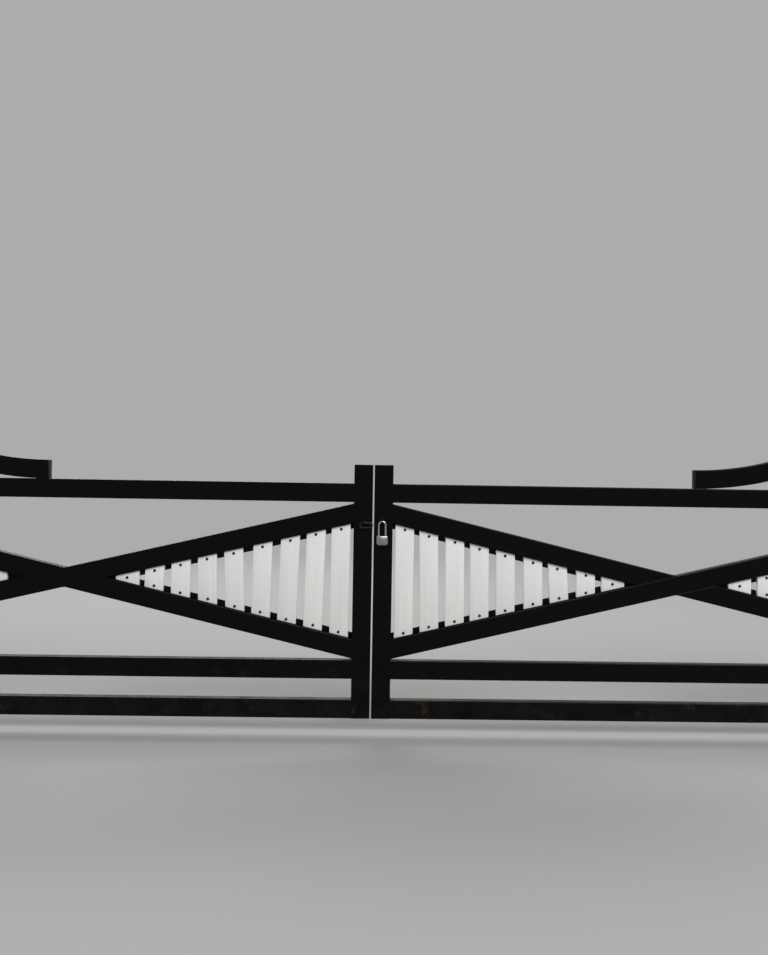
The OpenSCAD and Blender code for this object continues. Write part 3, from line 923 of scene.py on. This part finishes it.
class GATE_OT_posts(bpy.types.Operator):
    """Paints the hinge posts, and eases their caps and base plates"""
    bl_idname = "gate.posts"
    bl_label = "Posts"

    def execute(self, context):
        edge = context.scene.gate_paint.edge
        for side in SIDES:
            paint_node(side + "_post", "gloss_black_post")
            for part, made in (("post_cap", "pyramid_cap"), ("base_plate", "foot_plate")):
                node = f"{side}_{part}"
                piece = ease(solid_copy(node, f"{side}_{made}"), edge, segments=3, sharper_than=20)
                finish_piece(piece, "posts", "black_posts", "gloss_black_post", node=node)
        return {"FINISHED"}


class GATE_OT_hinges(bpy.types.Operator):
    """Eases the hinge eyes and brackets, and bares the steel where the pins turn"""
    bl_idname = "gate.hinges"
    bl_label = "Hinges"

    def execute(self, context):
        edge = context.scene.gate_paint.edge
        for side in SIDES:
            for level in ("upper", "lower"):
                node = f"{side}_{level}_hinge_eye"
                eye = ease(solid_copy(node, f"{side}_{level}_eye"), edge)
                finish_piece(eye, side + "_leaf", "black_fittings", "black_fitting", node=node)
                self.bracket(side, level, edge * 0.8)
        return {"FINISHED"}

    def bracket(self, side, level, edge):
        """The bracket with its pin, whose faces round the axis are bare steel."""
        node = f"{side}_{level}_hinge_pin"
        bracket = ease(solid_copy(node, f"{side}_{level}_bracket"), edge)
        finish_piece(bracket, "posts", "black_fittings", "black_fitting", "worn_steel", node=node)
        axis_x = next(j["pos_m"][0] for j in frame["joints"] if j["name"] == side + "_leaf_hinge")
        pin_reach, under_eye = 0.0125, 0.0004    # over the pin's radius, and within the gap under its eye
        plate_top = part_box(f"{side}_{level}_hinge_eye")[0].z - under_eye
        for face in bracket.data.polygons:
            off = (Vector((axis_x, 0, face.center.z)) - face.center).length
            if off < pin_reach and face.center.z > plate_top:
                face.material_index = 1


class GATE_OT_latch(bpy.types.Operator):
    """Smooths the latch loop and eases the lock eye, with paint worn where the lock rubs"""
    bl_idname = "gate.latch"
    bl_label = "Latch"

    def execute(self, context):
        loop = smooth(solid_copy("left_latch_loop", "left_latch_ring", flat=False), 50)
        finish_piece(loop, "left_leaf", "black_fittings", "worn_latch", node="left_latch_loop")
        edge = context.scene.gate_paint.edge
        eye = ease(solid_copy("right_lock_eye", "right_lock_plate"), edge, segments=3)
        finish_piece(eye, "right_leaf", "black_fittings", "worn_latch", node="right_lock_eye")
        return {"FINISHED"}


class GATE_OT_padlock(bpy.types.Operator):
    """Models the padlock's case with its collars and key plug, and polishes its shackle"""
    bl_idname = "gate.padlock"
    bl_label = "Padlock"

    def execute(self, context):
        lock = context.scene.gate_padlock
        low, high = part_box("padlock_body")
        case = self.case(lock, low, high)
        collars = self.collars(lock, case, (low.y + high.y) / 2, high.z)
        plug = self.plug(lock, case, Vector(((low.x + high.x) / 2, (low.y + high.y) / 2, low.z)))
        case = join("padlock_case", [smooth(case), *collars, plug])
        finish_piece(case, "right_leaf", "padlock_case", "satin_case", node="padlock_body")
        shackle = smooth(solid_copy("padlock_shackle", "padlock_bow", flat=False), 50)
        finish_piece(shackle, "right_leaf", "padlock_shackle", "bright_chrome", node="padlock_shackle")
        return {"FINISHED"}

    def case(self, lock, low, high):
        """The case with its rounded corners, its rims and its crowned faces."""
        lower_round, upper_round = 0.014, 0.005
        case = block("padlock_case", low, high)
        with editing(case, "EDGE"):
            for z, corner in ((low.z, lower_round), (high.z, upper_round)):
                pick(case, "edges", lambda e: all(abs(v.co.z - z) < MERGE for v in e.verts)
                     and runs(e, 1, (high.y - low.y) / 2))
                bpy.ops.mesh.bevel(offset=corner, segments=10, affect="EDGES")
        ease(case, lock.rim, segments=5)
        with editing(case, "VERT"):
            bpy.ops.mesh.select_all(action="SELECT")
            bpy.ops.mesh.remove_doubles(threshold=MERGE)
        self.crown(case, lock, low, high)
        return case

    def crown(self, case, lock, low, high):
        """Thins the case little by little towards its sides, its top and its foot."""
        middle, half = (low + high) / 2, (high - low) / 2
        for axis, normal in ((0, X_AXIS), (2, Z_AXIS)):
            with editing(case, "VERT"):
                for i in range(1, lock.slices):
                    bpy.ops.mesh.select_all(action="SELECT")
                    spot = low + normal * 2 * half[axis] * i / lock.slices
                    bpy.ops.mesh.bisect(plane_co=spot, plane_no=normal)
            rows = sorted({round(vertex.co[axis], 5) for vertex in case.data.vertices})
            with editing(case, "VERT"):
                for row in rows:
                    out = (row - middle[axis]) / half[axis]
                    pick(case, "verts", lambda v: round(v.co[axis], 5) == row)
                    bpy.ops.transform.resize(value=(1, 1 - lock.crown * out * out / half.y, 1),
                                             center_override=middle)

    def collars(self, lock, case, y, top):
        """Bores the case for the shackle's legs, and makes the collar round each."""
        height, lift, edge, clearance = 0.0016, 0.0006, 0.0005, 0.0003
        case_bore, collar_bore = 0.05, 0.01
        low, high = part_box("padlock_shackle")
        leg = (high.y - low.y) / 2
        collars = []
        for x in (low.x + leg, high.x - leg):
            cut(case, cylinder("bore", leg + clearance, case_bore, (x, y, top)))
            collar = cylinder("collar", leg + lock.collar, height, (x, y, top + lift), sides=40)
            cut(collar, cylinder("bore", leg + clearance, collar_bore, (x, y, top), sides=40))
            collars.append(ease(collar, edge))
        return collars

    def plug(self, lock, case, foot):
        """Sinks a seat into the case's foot, and makes the key plug in it."""
        radius, depth, edge, clearance = 0.0062, 0.003, 0.0003, 0.0003
        seat_depth, plug_lift, slot_depth = 0.004, 0.0022, 0.006
        cut(case, cylinder("seat", radius + clearance, seat_depth, foot, sides=40))
        plug = cylinder("plug", radius, depth, (foot.x, foot.y, foot.z + plug_lift), sides=40)
        slot = Vector((lock.slot_width, lock.slot_length, slot_depth)) / 2
        cut(plug, block("slot", foot - slot, foot + slot))
        return ease(plug, edge)


# Stage, lights and camera

FLOOR_RADIUS = 90
FADE_START, FADE_END = 4.2, 10.0        # the floor turns into the backdrop between these distances
KEY_PLACE, FILL_PLACE = Vector((6.4, -13.6, 12.8)), Vector((-4.8, 14.4, 11.2))   # from the gate's middle
LIGHT_LENGTH, LIGHT_WIDTH = 14.4, 8.0


class GATE_OT_stage(bpy.types.Operator):
    """Makes the plain floor, the soft lights and the camera"""
    bl_idname = "gate.stage"
    bl_label = "Stage"

    def execute(self, context):
        stage = context.scene.gate_stage
        middle = (cad_bounds[0] + cad_bounds[1]) / 2
        self.floor(stage, middle.x)
        self.world(context.scene, stage)
        self.soft_light("key_light", middle + KEY_PLACE, middle, stage.key)
        self.soft_light("fill_light", middle + FILL_PLACE, middle, stage.fill)
        self.camera(context.scene)
        context.scene.view_settings.view_transform = "Standard"
        return {"FINISHED"}

    def floor(self, stage, middle_x):
        """A round floor that fades into the backdrop where the camera or a mirror sees it."""
        floor = add("floor", bpy.ops.mesh.primitive_circle_add, vertices=96, radius=FLOOR_RADIUS,
                    fill_type="NGON", location=(middle_x, 0, 0))
        s = Shader(bpy.data.materials.new("pale_floor"))
        away = s.node("ShaderNodeVectorMath", {"operation": "DISTANCE"}, output="Value", i0=s.place(),
                      i1=(middle_x, 0, 0))
        far = s.step(away, FADE_START, FADE_END)
        near = s.node("ShaderNodeBsdfDiffuse", Color=rgba(stage.floor))
        glow = s.node("ShaderNodeEmission", Color=rgba(stage.backdrop), Strength=1.0)
        s.show(s.node("ShaderNodeMixShader", i0=far * self.seen(s), i1=near, i2=glow))
        floor.data.materials.append(s.owner)

    def seen(self, s):
        """1 for the rays that show the background: straight from the camera, mirrored or through glass."""
        rays = [s.node("ShaderNodeLightPath", output=kind)
                for kind in ("Is Camera Ray", "Is Glossy Ray", "Is Transmission Ray")]
        return s.maths("MINIMUM", rays[0] + rays[1] + rays[2], 1.0)

    def world(self, scene, stage):
        """White light from all round, and the backdrop's colour where the camera or a mirror sees it."""
        scene.world = bpy.data.worlds.new("studio")
        s = Shader(scene.world)
        lit = s.node("ShaderNodeBackground", Color=(1.0, 1.0, 1.0, 1.0), Strength=stage.sky)
        shown = s.node("ShaderNodeBackground", Color=rgba(stage.backdrop), Strength=1.0)
        s.show(s.node("ShaderNodeMixShader", i0=self.seen(s), i1=lit, i2=shown))

    def soft_light(self, name, place, target, watts):
        bpy.ops.object.light_add(type="AREA", location=place)
        lamp = name_active(name)
        lamp.rotation_euler = (target - place).to_track_quat("-Z", "Y").to_euler()
        lamp.data.shape = "RECTANGLE"
        lamp.data.size, lamp.data.size_y = LIGHT_LENGTH, LIGHT_WIDTH
        lamp.data.energy = watts

    def camera(self, scene):
        """The photograph's view: its place, its turn to the right, its lift and its roll."""
        place = Vector((3.403, -4.171, 1.36))
        turn, lift, roll = (math.radians(angle) for angle in (0.89, 0.05, 0.92))
        frame_height, focal_pixels, sensor, far_end = 955, 780, 36.0, 300
        ahead = Vector((math.sin(turn) * math.cos(lift), math.cos(turn) * math.cos(lift), math.sin(lift)))
        right = Vector((math.cos(turn), -math.sin(turn), 0))
        up = right.cross(ahead)
        tilted_right = right * math.cos(roll) + up * math.sin(roll)
        tilted_up = up * math.cos(roll) - right * math.sin(roll)
        bpy.ops.object.camera_add()
        camera = name_active("camera")
        axes = Matrix((tilted_right, tilted_up, -ahead)).transposed()
        camera.matrix_world = Matrix.Translation(place) @ axes.to_4x4()
        camera.data.sensor_width = sensor
        camera.data.lens = sensor * focal_pixels / frame_height
        camera.data.clip_end = far_end
        scene.camera = camera


class GATE_PT_panel(bpy.types.Panel):
    """Lists the gate's settings and the steps that build it"""
    bl_idname = "GATE_PT_panel"
    bl_label = "Farm Gate"
    bl_space_type = "VIEW_3D"
    bl_region_type = "UI"
    bl_category = "Gate"

    def draw(self, context):
        for label, name, _ in SETTINGS:
            box = self.layout.box()
            box.label(text=label)
            group = getattr(context.scene, name)
            for prop in group.__annotations__:
                box.prop(group, prop)
        for step in STEPS:
            self.layout.operator(step.bl_idname)


SETTINGS = (
    ("Paint", "gate_paint", PaintSettings),
    ("Slats", "gate_slats", SlatSettings),
    ("Welds", "gate_weld", WeldSettings),
    ("Padlock", "gate_padlock", PadlockSettings),
    ("Stage", "gate_stage", StageSettings),
)
STEPS = (GATE_OT_stage, GATE_OT_tubes, GATE_OT_posts, GATE_OT_hinges, GATE_OT_latch, GATE_OT_padlock,
         GATE_OT_slats, GATE_OT_welds)
CLASSES = tuple(group for _, _, group in SETTINGS) + STEPS + (GATE_PT_panel,)


def register():
    for cls in CLASSES:
        bpy.utils.register_class(cls)
    for _, name, group in SETTINGS:
        setattr(bpy.types.Scene, name, PointerProperty(type=group))


def unregister():
    for _, name, _ in SETTINGS:
        delattr(bpy.types.Scene, name)
    for cls in reversed(CLASSES):
        bpy.utils.unregister_class(cls)


def main():
    register()
    bpy.ops.gate.stage()
    bpy.ops.gate.tubes()
    bpy.ops.gate.posts()
    bpy.ops.gate.hinges()
    bpy.ops.gate.latch()
    bpy.ops.gate.padlock()
    bpy.ops.gate.slats()
    bpy.ops.gate.welds()
    bpy.context.view_layer.update()


if __name__ == "__main__":
    main()
